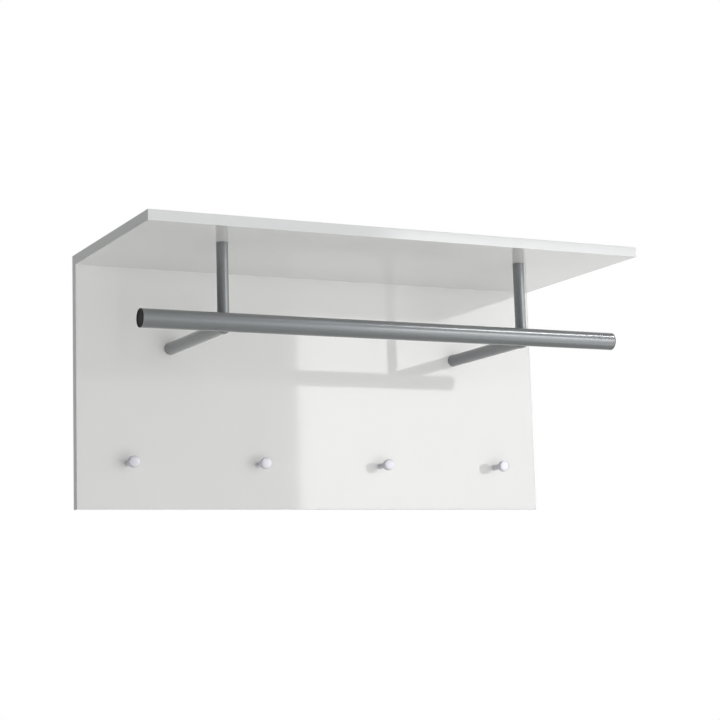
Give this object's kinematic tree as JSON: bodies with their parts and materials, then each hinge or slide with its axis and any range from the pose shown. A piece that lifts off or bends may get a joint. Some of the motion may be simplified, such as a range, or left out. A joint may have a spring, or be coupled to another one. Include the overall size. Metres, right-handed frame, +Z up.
{
  "type": "wall hook rack",
  "caption": "Wall coat rack: a flat back panel carries a hat shelf on top, a clothes rail on tube brackets in front and a row of mushroom knobs below.",
  "frame": {"origin": "centre of the back panel's rear face, on the wall", "axes": "+X to the right as seen from the room, -Y out of the wall into the room, +Z up"},
  "size_m": [0.83, 0.35, 0.4],
  "materials": {
    "gloss_board": "white high-gloss lacquer on chipboard",
    "edge_band": "white gloss edge band",
    "silver_tube": "satin silver powder coat",
    "silver_plastic": "silver-grey moulded",
    "dark_plastic": "dark grey moulded",
    "white_plastic": "white moulded",
    "knob_satin": "satin light grey",
    "zinc_steel": "zinc plated",
    "zinc_casting": "plain die casting",
    "beech": "raw"
  },
  "bodies": {
    "root": {"back_panel": "gloss_board", "panel_edge_left": "edge_band", "panel_edge_right": "edge_band", "panel_edge_bottom": "edge_band", "shelf_board": "gloss_board", "shelf_edge_front": "edge_band", "shelf_edge_left": "edge_band", "shelf_edge_right": "edge_band", "rail_tube": "silver_tube", "rail_cap_left": "dark_plastic", "rail_cap_right": "dark_plastic", "rail_rivet_nuts": "zinc_steel", "arm_left": "silver_tube", "arm_right": "silver_tube", "arm_front_plugs": "zinc_steel", "arm_studs": "zinc_steel", "arm_rear_plugs": "zinc_steel", "arm_bolts": "zinc_steel", "arm_washers": "zinc_steel", "arm_hole_covers": "silver_plastic", "post_left": "silver_tube", "post_right": "silver_tube", "post_foot_plugs": "zinc_steel", "post_foot_screws": "zinc_steel", "post_top_plugs": "zinc_steel", "post_bolts": "zinc_steel", "post_washers": "zinc_steel", "shelf_cover_caps": "white_plastic", "knob_1": "knob_satin", "knob_2": "knob_satin", "knob_3": "knob_satin", "knob_4": "knob_satin", "knob_screws": "zinc_steel", "cam_housings": "zinc_casting", "cam_bolts": "zinc_steel", "dowels": "beech", "hanger_plate_left": "zinc_steel", "hanger_plate_right": "zinc_steel", "hanger_screws": "zinc_steel"}
  },
  "joints": []
}
